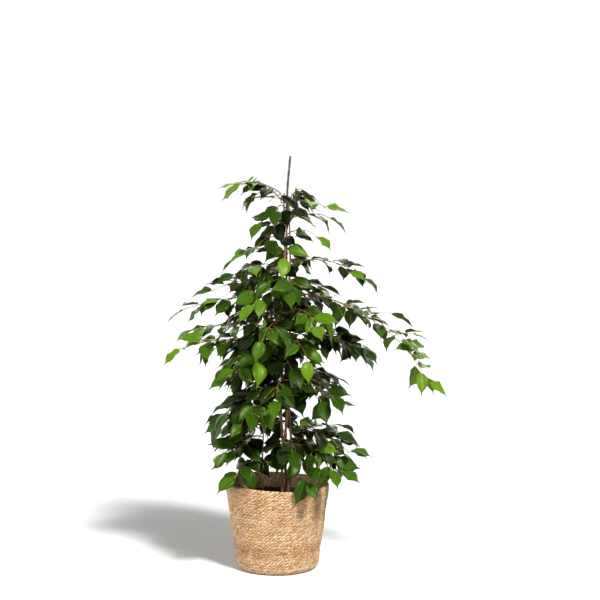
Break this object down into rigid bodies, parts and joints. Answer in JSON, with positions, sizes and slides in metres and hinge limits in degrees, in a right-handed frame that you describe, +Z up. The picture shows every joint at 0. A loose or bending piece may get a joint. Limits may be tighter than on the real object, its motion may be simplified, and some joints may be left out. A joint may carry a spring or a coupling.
{
  "type": "weeping fig in basket",
  "caption": "Tall house plant with wound slim stems round a stake and arching leafy sprays, potted in a round basket of braided plant fibre.",
  "frame": {"origin": "middle of the basket's flat base, where it rests on the floor", "axes": "+Z up along the stems, -Y towards the side that the picture shows, +X to the right in it"},
  "size_m": [0.6695, 0.4462, 0.9862],
  "materials": {
    "jute": "matte",
    "film": "gloss",
    "black_plastic": "satin",
    "soil": "matte",
    "stake": "matte",
    "bark": "matte",
    "leaf_dark": "satin",
    "leaf_mid": "satin",
    "leaf_bright": "satin"
  },
  "bodies": {
    "root": {"basket": "jute", "basket_liner": "film", "nursery_pot": "black_plastic", "soil": "soil", "stake": "stake", "stem_1": "bark", "stem_2": "bark", "stem_3": "bark", "shoot": "bark", "spray_01": "leaf_bright", "spray_02": "leaf_mid", "spray_03": "leaf_bright", "spray_04": "leaf_dark", "spray_05": "leaf_dark", "spray_06": "leaf_mid", "spray_07": "leaf_mid", "spray_08": "leaf_mid", "spray_09": "leaf_dark", "spray_10": "leaf_dark", "spray_11": "leaf_dark", "spray_12": "leaf_bright", "spray_13": "leaf_bright", "spray_14": "leaf_dark", "spray_15": "leaf_dark", "spray_16": "leaf_dark", "spray_17": "leaf_mid", "spray_18": "leaf_mid", "spray_19": "leaf_dark", "spray_20": "leaf_mid", "spray_21": "leaf_bright", "spray_22": "leaf_bright", "spray_23": "leaf_dark", "spray_24": "leaf_mid", "spray_25": "leaf_dark", "spray_26": "leaf_bright", "spray_27": "leaf_dark", "spray_28": "leaf_mid", "spray_29": "leaf_bright", "spray_30": "leaf_dark", "spray_31": "leaf_dark", "spray_32": "leaf_bright", "spray_33": "leaf_bright", "spray_34": "leaf_mid", "spray_35": "leaf_mid", "spray_36": "leaf_dark", "spray_37": "leaf_mid", "spray_38": "leaf_dark", "spray_39": "leaf_mid", "spray_40": "leaf_dark", "spray_41": "leaf_mid", "spray_42": "leaf_mid", "spray_43": "leaf_mid", "spray_44": "leaf_dark", "spray_45": "leaf_mid", "spray_46": "leaf_mid", "spray_47": "leaf_dark", "spray_48": "leaf_mid", "spray_49": "leaf_dark", "spray_50": "leaf_mid", "spray_51": "leaf_mid"}
  },
  "joints": []
}
